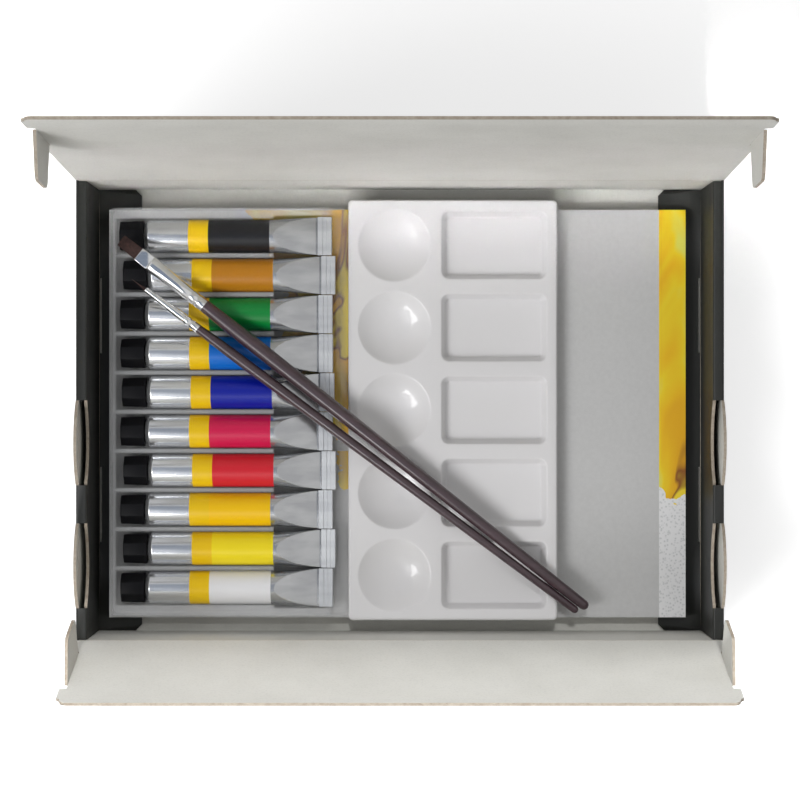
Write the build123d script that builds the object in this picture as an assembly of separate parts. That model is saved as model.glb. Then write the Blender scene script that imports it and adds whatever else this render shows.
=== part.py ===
from build123d import *
import os
from math import atan2, cos, degrees, pi, radians, sin, sqrt, tan

# Boxed acrylic paint set: a folded carton holding a paper pad, a tube tray, a mixing palette and two brushes.
# Origin at the centre of the carton's underside, +X along its length, +Y to the long closing flap, +Z up.

# Carton, folded from micro-flute board
board = 1.5
end_room = 15.0
side_room = 14.0
carton_height = 52.0
wall_gap = 2.6
rim_fold_radius = 1.2
floor_flap_width = 22.0
fold_gap = 0.3
crease_gap = 0.05

# Slots in the rims of the two rolled side walls, measured from the carton's outer back or front face
slot_length = 42.3
back_slot_start = 111.0
front_slot_start = 17.4
slot_cut_depth = 9.0
slot_tab_height = 9.0
slot_tab_relief = 0.5
lock_slit_length = 39.0
lock_slit_width = 1.0
lock_slit_centre = 49.0

# Corner tabs trapped inside the rolled side walls
back_tab_length = 45.0
front_tab_length = 13.0
tab_taper = 8.0

# Closing flaps and their ears
long_flap_length = 177.0
short_flap_length = 78.0
flap_corner_radius = 4.0
flap_tip_relief = 1.8
flap_tip_run = 6.0
long_flap_lean = 93.0
short_flap_lean = 106.0
ear_depth = 21.0
ear_base = 39.5
ear_near_taper = 5.0
ear_far_taper = 7.0
ear_corner_radius = 5.0
ear_clearance = 0.3
notch_relief = 1.6

# Paper pad, A4
pad_length = 297.0
pad_width = 210.0
pad_offset = (-1.3, -1.8)
sheet_count = 15
sheet_thickness = 0.45
cover_thickness = 0.35
back_board_thickness = 1.0
spine_thickness = 0.4

# Gap left under each loose thing that lies on another
rest_gap = 0.1

# Mixing palette
palette_width = 107.0
palette_length = 215.0
palette_height = 9.5
palette_wall = 1.3
palette_corner = 3.0
palette_edge_radius = 1.2
palette_gap = 0.3
palette_offset_y = 0.0
well_pitch = 42.2
well_count = 5
bowl_diameter = 37.2
bowl_depth = 6.5
bowl_offset = -29.9
bowl_bands = 3
bowl_sides = 24
dish_length = 54.5
dish_width = 35.2
dish_depth = 6.0
dish_draft = 28.0
dish_corner = 4.0
dish_corner_steps = 3
dish_offset = 21.1

# Tube tray, thermoformed from clear sheet
tray_wall = 0.5
tray_height = 13.0
tray_end_margin = 5.5
tray_side_margin = 3.5
tray_corner = 3.0
tray_left_gap = 7.7
tray_offset_y = -0.83
trough_clearance = 0.3
trough_end_clearance = 2.4

# Paint tubes
tube_count = 10
tube_pitch = 19.94
tube_offsets = (-0.4, 1.4, 0.0, 0.2, 0.9, 0.1, 1.7, 0.1, 1.5, 0.2)
tube_diameter = 17.0
tube_wall = 0.35
shoulder_start = 12.2
body_start = 14.6
shoulder_radius = 5.27
flare_start = 78.0
crimp_start = 100.3
tube_length = 108.0
crimp_width = 19.4
crimp_thickness = 1.6
wedge_lead = 0.3
tube_seat_gap = 0.25
tube_sides = 18
tube_inner_sides = 10

# Tube necks and caps
neck_diameter = 8.0
neck_length = 8.0
neck_bore = 4.4
neck_clearance = 0.08
cap_length = 12.0
cap_flats = 15.2
cap_end_flats = 14.4
cap_sides = 8
cap_edge_radius = 0.6
cap_wall_end = 2.2

# Brushes, each measured along its own axis from the hair's tip
flat_tip_offset = (1.5, -2.9)
flat_support_distance = 90.0
flat_heading = -38.3
flat_hair_length = 11.5
flat_mouth_width = 7.4
flat_mouth_depth = 2.6
flat_tip_width = 6.5
flat_tip_depth = 0.9
flat_blade_length = 7.5
flat_ferrule_length = 42.0
flat_ferrule_radius = 3.4
flat_handle_radius = 3.9
flat_handle_end_radius = 2.6
flat_length = 302.0
flat_rows = 7
flat_columns = 31
round_tip_offset = (6.8, -22.5)
round_support_distance = 93.0
round_heading = -36.8
round_hair_length = 9.0
round_mouth_radius = 1.25
round_ferrule_length = 33.0
round_ferrule_radius = 2.3
round_handle_radius = 2.9
round_handle_end_radius = 2.0
round_length = 283.0
round_rings = 5
handle_sides = 16
ferrule_sides = 16
handle_swell_distance = 26.0
ferrule_cone_share = 0.62
ferrule_wall = 0.3
hair_backing = 1.0
handle_tenon = 11.0
brush_gap = 0.3
crimp_ring_depth = 0.15
crimp_ring_width = 1.6

# Sizes that follow from the ones above
trough_radius = tube_diameter / 2 + trough_clearance
tray_length = tube_length + max(tube_offsets) + 2 * (trough_end_clearance + tray_side_margin)
tray_depth = (tube_count - 1) * tube_pitch + 2 * (trough_radius + tray_end_margin)
inner_length = max(pad_length, tray_left_gap + tray_length + palette_gap + palette_width) + end_room
inner_depth = max(pad_width, palette_length, tray_depth) + side_room
inner_x = inner_length / 2
inner_y = inner_depth / 2
outer_x = inner_x + 2 * board + wall_gap
outer_y = inner_y + board
ear_fold_x = inner_x + board + ear_clearance
crease_z = carton_height + board / 2 + crease_gap
flap_step = board + crease_gap
crease_y = inner_y + board / 2
pad_bottom = 2 * board + rest_gap
sheets_bottom = pad_bottom + back_board_thickness
sheets_top = sheets_bottom + sheet_count * sheet_thickness
pad_top = sheets_top + cover_thickness
stack_bottom = pad_top + rest_gap
palette_top = stack_bottom + palette_height
tray_top = stack_bottom + tray_height
tube_axis_z = stack_bottom + tray_wall + tube_diameter / 2 + tube_seat_gap
tube_top = tube_axis_z + tube_diameter / 2
trough_axis_z = stack_bottom + tray_wall + trough_radius
cap_end_x = -inner_x + tray_left_gap + tray_side_margin + trough_end_clearance
first_tube_y = tray_offset_y + (tube_count - 1) * tube_pitch / 2
last_tube_y = first_tube_y - (tube_count - 1) * tube_pitch
palette_x = -inner_x + tray_left_gap + tray_length + palette_gap + palette_width / 2
flat_tip = (cap_end_x + flat_tip_offset[0], first_tube_y + flat_tip_offset[1])
round_tip = (cap_end_x + round_tip_offset[0], first_tube_y + round_tip_offset[1])


def block(x0, x1, y0, y1, z0, z1):
    """A box between two corners."""
    return Pos(x0, y0, z0) * Box(x1 - x0, y1 - y0, z1 - z0, align=(Align.MIN, Align.MIN, Align.MIN))


def solid_of(shape):
    """The shape as one clean solid, or a compound of its solids."""
    solids = shape.solids()
    return solids[0] if len(solids) == 1 else Compound(solids)


def slot_centres():
    """Y of the middle of the long flap's slot and of the short flap's slot."""
    back = outer_y - back_slot_start - slot_length / 2
    front = -outer_y + front_slot_start + slot_length / 2
    return back, front


def half_moon(height):
    """A circle segment in the YZ plane, standing on its chord at the origin, chord one slot long."""
    half = slot_length / 2
    chord = Line((0, -half, 0), (0, half, 0))
    arc = ThreePointArc((0, half, 0), (0, 0, height), (0, -half, 0))
    return make_face([chord, arc])


def floor_panel():
    x = outer_x - board
    return block(-x, x, -inner_y, inner_y, 0, board)


def end_wall(side):
    """Back wall for side 1, one board higher so its flap shuts over the other; front wall for side -1."""
    x = outer_x - board
    if side > 0:
        return block(-x, x, inner_y, outer_y, 0, carton_height + flap_step)
    return block(-x, x, -outer_y, -inner_y, 0, carton_height)


def rolled_wall(side):
    """A side wall of one board folded over: outer panel, rim, inner panel and the flap on the floor."""
    outer = block(outer_x - board, outer_x, -outer_y, outer_y, 0, carton_height)
    path = [
        (outer_x - board, carton_height),
        (inner_x, carton_height),
        (inner_x, 2 * board),
        (inner_x - floor_flap_width, 2 * board),
        (inner_x - floor_flap_width, board),
        (inner_x + board, board),
        (inner_x + board, carton_height - board),
        (outer_x - board, carton_height - board),
    ]
    section = make_face(Polyline([Vector(x, 0, z) for x, z in path], close=True))
    run = inner_depth - 2 * fold_gap
    inner = Pos(0, inner_y - fold_gap, 0) * extrude(section, amount=run, dir=(0, -1, 0))
    flap_corners = inner.edges().filter_by(Axis.Z).group_by(Axis.X)[0]
    inner = chamfer(flap_corners, board * 2)
    wall = outer + inner
    top_edges = wall.edges().filter_by(Axis.Y).group_by(Axis.Z)[-1]
    wall = fillet([top_edges.sort_by(Axis.X)[0], top_edges.sort_by(Axis.X)[-1]], rim_fold_radius)
    for y in slot_centres():
        opening = mirror(half_moon(slot_cut_depth), about=Plane.XY)
        gap_x = outer_x - board - inner_x + 1
        opening = extrude(opening, amount=gap_x, dir=(1, 0, 0))
        wall -= Pos(inner_x - 1, y, carton_height) * opening
        half = slot_length / 2
        wall -= block(inner_x - 1, outer_x - board, y - half, y + half, carton_height - board,
                      carton_height + 1)
        tab = extrude(half_moon(slot_tab_height), amount=board, dir=(1, 0, 0))
        base_half = half - slot_tab_relief
        base = block(outer_x - board, outer_x, y - base_half, y + base_half,
                     carton_height - 2 * rim_fold_radius, carton_height + 0.2)
        wall += Pos(outer_x - board, y, carton_height) * tab + base
    for y in (-lock_slit_centre, lock_slit_centre):
        half = lock_slit_length / 2
        wall -= block(inner_x - lock_slit_width - fold_gap, inner_x - fold_gap, y - half, y + half,
                      0, 2 * board + 1)
    return wall if side > 0 else mirror(wall, about=Plane.YZ)


def corner_tab(length):
    """One glued tab, upright against the outer side panel, running towards -Y from the back wall."""
    top = carton_height - 2 * board
    bottom = board + fold_gap
    points = [(0, bottom), (0, top), (-length, top - tab_taper), (-length, bottom + tab_taper)]
    face = make_face(Polyline([Vector(0, y, z) for y, z in points], close=True))
    return Pos(outer_x - board, inner_y, 0) * extrude(face, amount=board, dir=(-1, 0, 0))


def corner_tabs():
    back = corner_tab(back_tab_length)
    front = mirror(corner_tab(front_tab_length), about=Plane.XZ)
    right = [back, front]
    left = [mirror(tab, about=Plane.YZ) for tab in right]
    return Compound([tab.solid() for tab in right + left])


def flap_outline(length, slot_start):
    """A flap's plan, hinge line on X, panel towards +Y, notched for its ears and drawn in at the tip."""
    full = outer_x - fold_gap
    start = slot_start - board / 2 - notch_relief
    end = slot_start - board / 2 + slot_length + notch_relief
    right = [
        (full, 0),
        (full, start - notch_relief),
        (ear_fold_x, start),
        (ear_fold_x, end),
        (full, end + notch_relief / 2),
        (full, length - flap_tip_run),
        (full - flap_tip_relief, length - flap_tip_run + flap_tip_relief),
        (full - flap_tip_relief, length),
    ]
    left = [(-x, y) for x, y in reversed(right)]
    face = make_face(Polyline([Vector(x, y) for x, y in right + left], close=True))
    far = face.vertices().group_by(Axis.Y)[-1]
    radius = min(flap_corner_radius, 0.9 * (flap_tip_run - flap_tip_relief))
    return fillet(far, radius)


def flap_panel(length, slot_start):
    """A closing flap, horizontal, with its crease rounded about the X axis."""
    panel = extrude(flap_outline(length, slot_start), amount=board / 2, both=True)
    width = 2 * (outer_x - fold_gap)
    crease = Rot(0, 90, 0) * Cylinder(board / 2, width)
    return panel + crease


def ear_panel(slot_start):
    """The right-hand ear of a horizontal flap, folded square to it in the YZ plane."""
    middle = slot_start - board / 2 + slot_length / 2
    near, far = middle - ear_base / 2, middle + ear_base / 2
    points = [(near, 0), (far, 0), (far - ear_far_taper, -ear_depth), (near + ear_near_taper, -ear_depth)]
    face = make_face(Polyline([Vector(0, y, z) for y, z in points], close=True))
    tips = face.vertices().group_by(Axis.Z)[0]
    face = fillet(tips, ear_corner_radius)
    return Pos(ear_fold_x, 0, -board / 2) * extrude(face, amount=board, dir=(1, 0, 0))


def stand_flap(shape, side, lean):
    """Turns a horizontal flap or ear up to its rest angle and sets it on its crease."""
    step = flap_step if side > 0 else 0
    raised = Pos(0, 0, crease_z + step) * Rot(lean, 0, 0) * shape
    placed = Pos(0, -crease_y, 0) * raised
    return placed if side < 0 else mirror(placed, about=Plane.XZ)


def both_ears(slot_start, side, lean):
    ear = ear_panel(slot_start)
    right = stand_flap(ear, side, lean)
    left = mirror(right, about=Plane.YZ)
    return left, right


def pad_block(z0, z1, spine=spine_thickness):
    """One layer of the pad, short of the glued spine at its left end."""
    x, y = pad_offset
    left = x - pad_length / 2 + spine
    return block(left, x + pad_length / 2, y - pad_width / 2, y + pad_width / 2, z0, z1)


def pad_sheets():
    layers = []
    for n in range(sheet_count):
        low = sheets_bottom + n * sheet_thickness
        layers.append(pad_block(low, low + sheet_thickness).solid())
    return Compound(layers)


def pad_spine():
    x, y = pad_offset
    left = x - pad_length / 2
    return block(left, left + spine_thickness, y - pad_width / 2, y + pad_width / 2, pad_bottom, pad_top)


def bowl_radius():
    half = bowl_diameter / 2
    return (half * half + bowl_depth * bowl_depth) / (2 * bowl_depth)


def bowl_form(top, grow):
    """A spherical bowl in bands of flat facets, or its outer skin when grown by a wall."""
    radius = bowl_radius() + grow
    drop = bowl_radius() - bowl_depth
    reach = sqrt(radius ** 2 - drop ** 2)
    bands = []
    for band in range(bowl_bands + 1):
        r = reach * (1 - band / (bowl_bands + 0.5))
        bands.append((sqrt(radius ** 2 - r ** 2) - drop, r))
    return Pos(0, 0, top) * Rot(0, 90, 0) * facet_turned(bands, bowl_sides)


def palette():
    """A moulded shell: skirt, top plate, five spherical bowls and five drafted dishes."""
    body = Box(palette_width, palette_length, palette_height, align=(Align.CENTER, Align.CENTER, Align.MIN))
    body = fillet(body.edges().filter_by(Axis.Z), palette_corner)
    body = chamfer(body.faces().sort_by(Axis.Z)[-1].edges(), palette_edge_radius)
    hollow = Box(palette_width - 2 * palette_wall, palette_length - 2 * palette_wall,
                 palette_height - palette_wall, align=(Align.CENTER, Align.CENTER, Align.MIN))
    hollow = fillet(hollow.edges().filter_by(Axis.Z), palette_corner - palette_wall)
    shell = body - hollow
    top = palette_height
    inside = top - palette_wall / 2
    for n in range(well_count):
        y = (n - (well_count - 1) / 2) * well_pitch
        bowl_at = Pos(bowl_offset, y, 0)
        shell += bowl_at * bowl_form(top, palette_wall)
        shell -= bowl_at * bowl_form(top, 0)
        dish_at = Pos(dish_offset, y, 0)
        shell += dish_at * dish_form(inside, dish_depth + palette_wall / 2, palette_wall)
        shell -= dish_at * dish_form(top, dish_depth, 0)
    return Pos(palette_x, palette_offset_y, stack_bottom) * shell


def dish_ring(z, radius):
    """The rounded outline of a dish at one height, its corners drawn in steps about their own centres."""
    x, y = dish_length / 2 - dish_corner, dish_width / 2 - dish_corner
    points = []
    for quarter, (cx, cy) in enumerate([(x, y), (-x, y), (-x, -y), (x, -y)]):
        for step in range(dish_corner_steps + 1):
            angle = pi / 2 * (quarter + step / dish_corner_steps)
            points.append(Vector(cx + radius * cos(angle), cy + radius * sin(angle), z))
    return points


def dish_form(top, depth, grow):
    """The drafted block that fills one rectangular dish, or its outer skin when grown by a wall."""
    radius = dish_corner + grow
    drawn_in = depth * tan(radians(dish_draft))
    return flat_sided([dish_ring(top, radius), dish_ring(top - depth, radius - drawn_in)])


def tube_y(n):
    return first_tube_y - n * tube_pitch


def trough(n, grow):
    """The U-shaped pocket of one tube as a solid, grown by the sheet's thickness for its outside."""
    r = trough_radius + grow
    rise = tray_top - trough_axis_z
    profile = make_face([
        Line((0, -r, rise), (0, -r, 0)),
        ThreePointArc((0, -r, 0), (0, 0, -r), (0, r, 0)),
        Line((0, r, 0), (0, r, rise)),
        Line((0, r, rise), (0, -r, rise)),
    ])
    start = cap_end_x - trough_end_clearance - grow
    end = cap_end_x + flare_start
    return Pos(start, tube_y(n), trough_axis_z) * extrude(profile, amount=end - start, dir=(1, 0, 0))


def tray():
    """Clear tray: flange, skirt, ten troughs, an open bay under the tapers and a shelf for the crimps."""
    left = cap_end_x - trough_end_clearance - tray_side_margin
    shelf_end = cap_end_x + tube_length + max(tube_offsets) + trough_end_clearance
    right = shelf_end + tray_side_margin
    top_y = first_tube_y + trough_radius + tray_end_margin
    low_y = last_tube_y - trough_radius - tray_end_margin
    skin = block(left, right, low_y, top_y, stack_bottom, tray_top)
    skin = fillet(skin.edges().filter_by(Axis.Z), tray_corner)
    hollow = block(left + tray_wall, right - tray_wall, low_y + tray_wall, top_y - tray_wall,
                   stack_bottom, tray_top - tray_wall)
    hollow = fillet(hollow.edges().filter_by(Axis.Z), tray_corner - tray_wall)
    skin -= hollow
    bay_end = cap_end_x + crimp_start + max(tube_offsets) + trough_clearance
    shelf_top = tube_axis_z - crimp_thickness / 2 - tube_seat_gap
    bay_half = crimp_width / 2 + 2 * trough_clearance
    bay_y0, bay_y1 = last_tube_y - bay_half, first_tube_y + bay_half

    def bay(grow, floor):
        return block(cap_end_x + flare_start, bay_end + grow, bay_y0 - grow, bay_y1 + grow, floor, tray_top)

    def shelf(grow, floor):
        return block(bay_end, shelf_end + grow, bay_y0 - grow, bay_y1 + grow, floor, tray_top)

    bay_floor = stack_bottom + tray_wall
    bay_back = block(cap_end_x + flare_start - tray_wall, bay_end, bay_y0 - tray_wall, bay_y1 + tray_wall,
                     stack_bottom, tray_top - tray_wall / 2)
    outside = [trough(n, tray_wall) for n in range(tube_count)]
    outside += [bay(tray_wall, stack_bottom), bay_back, shelf(tray_wall, shelf_top - tray_wall)]
    inside = [trough(n, 0) for n in range(tube_count)]
    inside += [bay(0, bay_floor), shelf(0, shelf_top)]
    formed = skin
    for piece in outside:
        formed += piece
    for piece in inside:
        formed -= piece
    return formed


def along_x(shape, x):
    """A round form that stands on the XY plane, laid down to start at x and run towards +X."""
    return Pos(x, 0, 0) * Rot(0, 90, 0) * shape


def rod(x0, x1, radius):
    return along_x(Cylinder(radius, x1 - x0, align=(Align.CENTER, Align.CENTER, Align.MIN)), x0)


def facet_turned(stations, sides):
    """A turned form along X with flat sides, through pairs of a place and a radius."""
    def ring(x, radius):
        angles = [2 * pi * k / sides for k in range(sides)]
        return [Vector(x, radius * cos(a), radius * sin(a)) for a in angles]

    return flat_sided([ring(x, radius) for x, radius in stations])


def flat_sided(rings):
    """The solid through rings of as many points each, every side between two rings a flat face."""
    faces = [Face(Wire.make_polygon(rings[0])), Face(Wire.make_polygon(rings[-1]))]
    for low, high in zip(rings, rings[1:]):
        for k in range(len(low)):
            m = (k + 1) % len(low)
            faces.append(Face(Wire.make_polygon([low[k], low[m], high[m], high[k]])))
    return Solid(Shell(faces))


def pressed_flat(x0, x1, r0, r1, z0, z1, sides):
    """A frustum pressed between two planes that close in, so that it is round at x0 and flat at x1."""
    side = make_face(Polyline([Vector(x0, 0, -z0), Vector(x1, 0, -z1), Vector(x1, 0, z1), Vector(x0, 0, z0)],
                              close=True))
    cone = facet_turned([(x0, r0), (x1, r1)], sides)
    return cone & extrude(side, amount=2 * max(r0, r1), both=True)


def tube_form(inset, shoulder_x, end_x, sides):
    """The tube's body and pressed tail, drawn in from the outside by an inset."""
    r = tube_diameter / 2 - inset
    tail = pressed_flat(flare_start, end_x, r, crimp_width / 2 - inset, r + wedge_lead,
                        max(crimp_thickness / 2 - inset, 0.15), sides)
    return facet_turned([(shoulder_x, r), (flare_start, r)], sides) + tail


def tube_body(n):
    """One aluminium tube, measured from its cap's end: neck, shoulder, body, pressed tail and crimp."""
    w = tube_wall
    outside = tube_form(0, body_start, crimp_start, tube_sides)
    inside = tube_form(w, body_start + w, crimp_start - 2 * w, tube_inner_sides)
    shoulder = facet_turned([(shoulder_start, shoulder_radius), (body_start, tube_diameter / 2)], tube_sides)
    neck_start = shoulder_start - neck_length
    neck = rod(neck_start, shoulder_start + w, neck_diameter / 2)
    bore_ends = (neck_start - w, body_start + 2 * w)
    bore = facet_turned([(x, neck_bore / 2) for x in bore_ends], tube_inner_sides)
    crimp = block(crimp_start, tube_length, -crimp_width / 2, crimp_width / 2,
                  -crimp_thickness / 2, crimp_thickness / 2)
    return outside + shoulder + neck + crimp - inside - bore


def tube_paint(n):
    """The paint inside one tube."""
    w = tube_wall + neck_clearance
    return tube_form(w, body_start + w, crimp_start - 3 * w, tube_inner_sides)


def tube_cap(n):
    """Eight-sided screw cap, slightly tapered, bored to clear the neck."""
    to_corner = 0.5 / cos(pi / cap_sides)
    edge = cap_edge_radius
    narrow = cap_end_flats * to_corner
    wide = cap_flats * to_corner
    cap = facet_turned([(0, narrow - edge), (edge, narrow), (cap_length, wide)], cap_sides)
    cap = Rot(180 / cap_sides, 0, 0) * cap
    return cap - rod(cap_wall_end, cap_wall_end + cap_length, neck_diameter / 2 + neck_clearance)


def in_tray(shape, n):
    return Pos(cap_end_x + tube_offsets[n], tube_y(n), tube_axis_z) * shape


def handle_profile(start, length, neck, belly, end):
    """Radii along a brush handle: swelling after the ferrule, then a long taper to a rounded end."""
    swell = start + handle_swell_distance
    waist = start + 0.45 * (length - start)
    return [(start, neck), (swell, belly), (waist, 0.5 * (belly + end) + 0.2), (length - end, end)]


def brush_handle(start, length, neck, belly, end, socket):
    """A turned wooden handle with a tenon in the ferrule and a rounded end."""
    stations = handle_profile(start, length, neck, belly, end)
    stations += [(length - 0.4 * end, 0.8 * end), (length, 0.3 * end)]
    handle = facet_turned(stations, handle_sides)
    return handle + rod(start - handle_tenon, start + 1, socket)


def tenon_radius(ferrule_radius):
    """The thickest round tenon that passes the grooves inside a flat-sided ferrule."""
    throat = ferrule_radius - ferrule_wall - crimp_ring_depth
    return throat * cos(pi / ferrule_sides) - neck_clearance


def grooved_sleeve(x0, x1, radius):
    """The round end of a ferrule, with two rolled grooves near the handle."""
    half = crimp_ring_width / 2
    stations = [(x0, radius)]
    for x in (x1 - 5.2 * crimp_ring_width, x1 - 3 * crimp_ring_width):
        stations += [(x - half, radius), (x, radius - crimp_ring_depth), (x + half, radius)]
    return facet_turned(stations + [(x1, radius)], ferrule_sides)


def flat_ferrule_form(inset, x0, x1):
    """A flat brush's ferrule, drawn in by an inset: flat mouth, flare pressed from round, and sleeve."""
    blade = flat_hair_length + flat_blade_length
    cone_end = flat_hair_length + ferrule_cone_share * flat_ferrule_length
    r = flat_ferrule_radius - inset
    wide = flat_mouth_width / 2 - inset
    half = flat_mouth_depth / 2 - inset
    mouth = block(x0, blade, -wide, wide, -half, half)
    mirrored = pressed_flat(-cone_end, -blade, r, wide + wedge_lead, r + wedge_lead, half, ferrule_sides)
    flare = mirror(mirrored, about=Plane.YZ)
    return mouth + flare + grooved_sleeve(cone_end, x1, r)


def round_ferrule_form(inset, x0, x1):
    cone_end = round_hair_length + ferrule_cone_share * round_ferrule_length
    r = round_ferrule_radius - inset
    cone = facet_turned([(x0, round_mouth_radius - inset), (cone_end, r)], ferrule_sides)
    return cone + grooved_sleeve(cone_end, x1, r)


def hollow_ferrule(form, hair, length):
    """A seamless ferrule: its form, less the same form drawn in by the wall."""
    joint = hair + length
    return form(0, hair, joint) - form(ferrule_wall, hair - 1, joint + 1)


def strand(base_at, tip_at, base_size, tip_size, base_x, tip_x):
    """One three-sided bristle, from its root to its finer tip."""
    def ring(x, centre, size):
        angles = [2 * pi * k / 3 for k in range(3)]
        return [Vector(x, centre[0] + size * cos(a), centre[1] + size * sin(a)) for a in angles]

    return flat_sided([ring(tip_x, tip_at, tip_size), ring(base_x, base_at, base_size)])


def flat_hair():
    """A short flat tuft: rows of strands drawn in to a chisel edge, on a slice held by the ferrule."""
    inset = ferrule_wall + neck_clearance
    wide, deep = flat_mouth_width - 2 * inset, flat_mouth_depth - 2 * inset
    root_x = flat_hair_length + 0.2
    backing = block(root_x, root_x + hair_backing, -wide / 2, wide / 2, -deep / 2, deep / 2)
    size = 0.42 * min(wide / flat_columns, deep / flat_rows)
    strands = []
    for i in range(flat_columns):
        for j in range(flat_rows):
            a = (i + 0.5) / flat_columns - 0.5
            b = (j + 0.5) / flat_rows - 0.5
            root = (a * wide, b * deep)
            tip = (a * flat_tip_width, b * flat_tip_depth)
            strands.append(strand(root, tip, size, 0.5 * size, root_x + hair_backing / 2, 0))
    return backing.fuse(*strands)


def round_hair():
    """A small round tuft drawn to a point, in rings, the outer strands shorter than the middle ones."""
    hair, w = round_hair_length, ferrule_wall + neck_clearance
    radius = round_mouth_radius - w
    backing = rod(hair + 0.2, hair + 0.2 + hair_backing, radius)
    pitch = radius / (round_rings + 0.6)
    strands = []
    for ring in range(round_rings + 1):
        count = 6 * ring if ring else 1
        for k in range(count):
            angle = 2 * pi * k / count
            root = (ring * pitch * cos(angle), ring * pitch * sin(angle))
            reach = 0.12 + 0.4 * (ring / round_rings) ** 2
            tip_x = hair * (reach - 0.12)
            share = 0.16 + 0.5 * (reach - 0.12)
            tip = (root[0] * share, root[1] * share)
            size = 0.42 * pitch
            strands.append(strand(root, tip, size, size * share, hair + 0.2 + hair_backing / 2, tip_x))
    return backing.fuse(*strands)


def brush_pitch(support_s, support_z, support_r, rest_s, rest_z, rest_r):
    """Nose-down angle and tip height of a brush that lies on a tube and on the palette's far edge."""
    high = support_z + support_r + brush_gap
    low = rest_z + rest_r + brush_gap
    slope = (high - low) / (rest_s - support_s)
    return degrees(atan2(slope, 1)), high + slope * support_s


def on_supports(shape, tip, heading, pitch, tip_z):
    return Pos(tip[0], tip[1], tip_z) * Rot(0, 0, heading) * Rot(0, pitch, 0) * shape


def far_edge_distance(tip, heading):
    """How far along a brush the palette's right-hand edge lies."""
    edge = palette_x + palette_width / 2
    return (edge - tip[0]) / cos(radians(heading))


def flat_brush():
    start = flat_hair_length + flat_ferrule_length
    socket = tenon_radius(flat_ferrule_radius)
    handle = brush_handle(start, flat_length, flat_ferrule_radius - 0.1, flat_handle_radius,
                          flat_handle_end_radius, socket)
    ferrule = hollow_ferrule(flat_ferrule_form, flat_hair_length, flat_ferrule_length)
    return {"handle": handle, "ferrule": ferrule, "hair": flat_hair()}


def round_brush():
    start = round_hair_length + round_ferrule_length
    socket = tenon_radius(round_ferrule_radius)
    handle = brush_handle(start, round_length, round_ferrule_radius - 0.1, round_handle_radius,
                          round_handle_end_radius, socket)
    ferrule = hollow_ferrule(round_ferrule_form, round_hair_length, round_ferrule_length)
    return {"handle": handle, "ferrule": ferrule, "hair": round_hair()}


def place_brush(pieces, name, tip, heading, support, radii, nodes):
    """Lays a brush on the first tube at one end and on the palette's far edge at the other."""
    belly, end = radii
    rest_s = far_edge_distance(tip, heading)
    pitch, tip_z = brush_pitch(support, tube_top, belly, rest_s, palette_top, end)
    for part_name, shape in pieces.items():
        nodes[f"{name}_{part_name}"] = on_supports(shape, tip, heading, pitch, tip_z)


def build():
    nodes = {
        "carton_floor": floor_panel(),
        "carton_back_wall": end_wall(1),
        "carton_front_wall": end_wall(-1),
        "carton_left_rolled_wall": rolled_wall(-1),
        "carton_right_rolled_wall": rolled_wall(1),
        "carton_corner_tabs": corner_tabs(),
        "long_flap": stand_flap(flap_panel(long_flap_length, back_slot_start), 1, long_flap_lean),
        "short_flap": stand_flap(flap_panel(short_flap_length, front_slot_start), -1, short_flap_lean),
        "pad_back_board": pad_block(pad_bottom, sheets_bottom),
        "pad_sheets": pad_sheets(),
        "pad_cover": pad_block(sheets_top, pad_top),
        "pad_spine": pad_spine(),
        "mixing_palette": palette(),
        "tube_tray": tray(),
    }
    for flap, slot_start, side, lean in (("long", back_slot_start, 1, long_flap_lean),
                                         ("short", front_slot_start, -1, short_flap_lean)):
        left, right = both_ears(slot_start, side, lean)
        nodes[f"{flap}_flap_left_ear"] = left
        nodes[f"{flap}_flap_right_ear"] = right
    for n in range(tube_count):
        nodes[f"tube_{n + 1:02d}"] = in_tray(tube_body(n), n)
        nodes[f"paint_{n + 1:02d}"] = in_tray(tube_paint(n), n)
        nodes[f"cap_{n + 1:02d}"] = in_tray(tube_cap(n), n)
    place_brush(flat_brush(), "flat_brush", flat_tip, flat_heading, flat_support_distance,
                (flat_handle_radius, flat_handle_end_radius), nodes)
    place_brush(round_brush(), "round_brush", round_tip, round_heading, round_support_distance,
                (round_handle_radius, round_handle_end_radius), nodes)
    return nodes


os.makedirs("parts", exist_ok=True)
for node_name, node_shape in build().items():
    export_step(solid_of(node_shape), f"parts/{node_name}.step")
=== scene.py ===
import bpy
import random
from math import asin, atan2, cos, pi, radians, sin, sqrt
from mathutils import Matrix, Vector


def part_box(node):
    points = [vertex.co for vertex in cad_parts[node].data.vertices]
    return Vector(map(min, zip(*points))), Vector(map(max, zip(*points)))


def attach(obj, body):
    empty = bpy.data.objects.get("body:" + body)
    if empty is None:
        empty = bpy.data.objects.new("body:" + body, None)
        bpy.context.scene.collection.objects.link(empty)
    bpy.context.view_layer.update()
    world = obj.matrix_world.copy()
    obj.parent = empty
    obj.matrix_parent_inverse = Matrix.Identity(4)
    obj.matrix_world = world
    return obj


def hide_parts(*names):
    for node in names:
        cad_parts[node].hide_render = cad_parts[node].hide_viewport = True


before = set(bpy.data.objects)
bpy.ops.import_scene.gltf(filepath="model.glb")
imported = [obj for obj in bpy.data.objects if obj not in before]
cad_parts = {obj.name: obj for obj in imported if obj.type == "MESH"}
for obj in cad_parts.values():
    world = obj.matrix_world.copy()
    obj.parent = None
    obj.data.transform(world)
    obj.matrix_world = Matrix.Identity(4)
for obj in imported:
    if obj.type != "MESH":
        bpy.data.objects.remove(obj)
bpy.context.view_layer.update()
bpy.ops.object.select_all(action="DESELECT")
random.seed(12)

MM = 0.001

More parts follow.
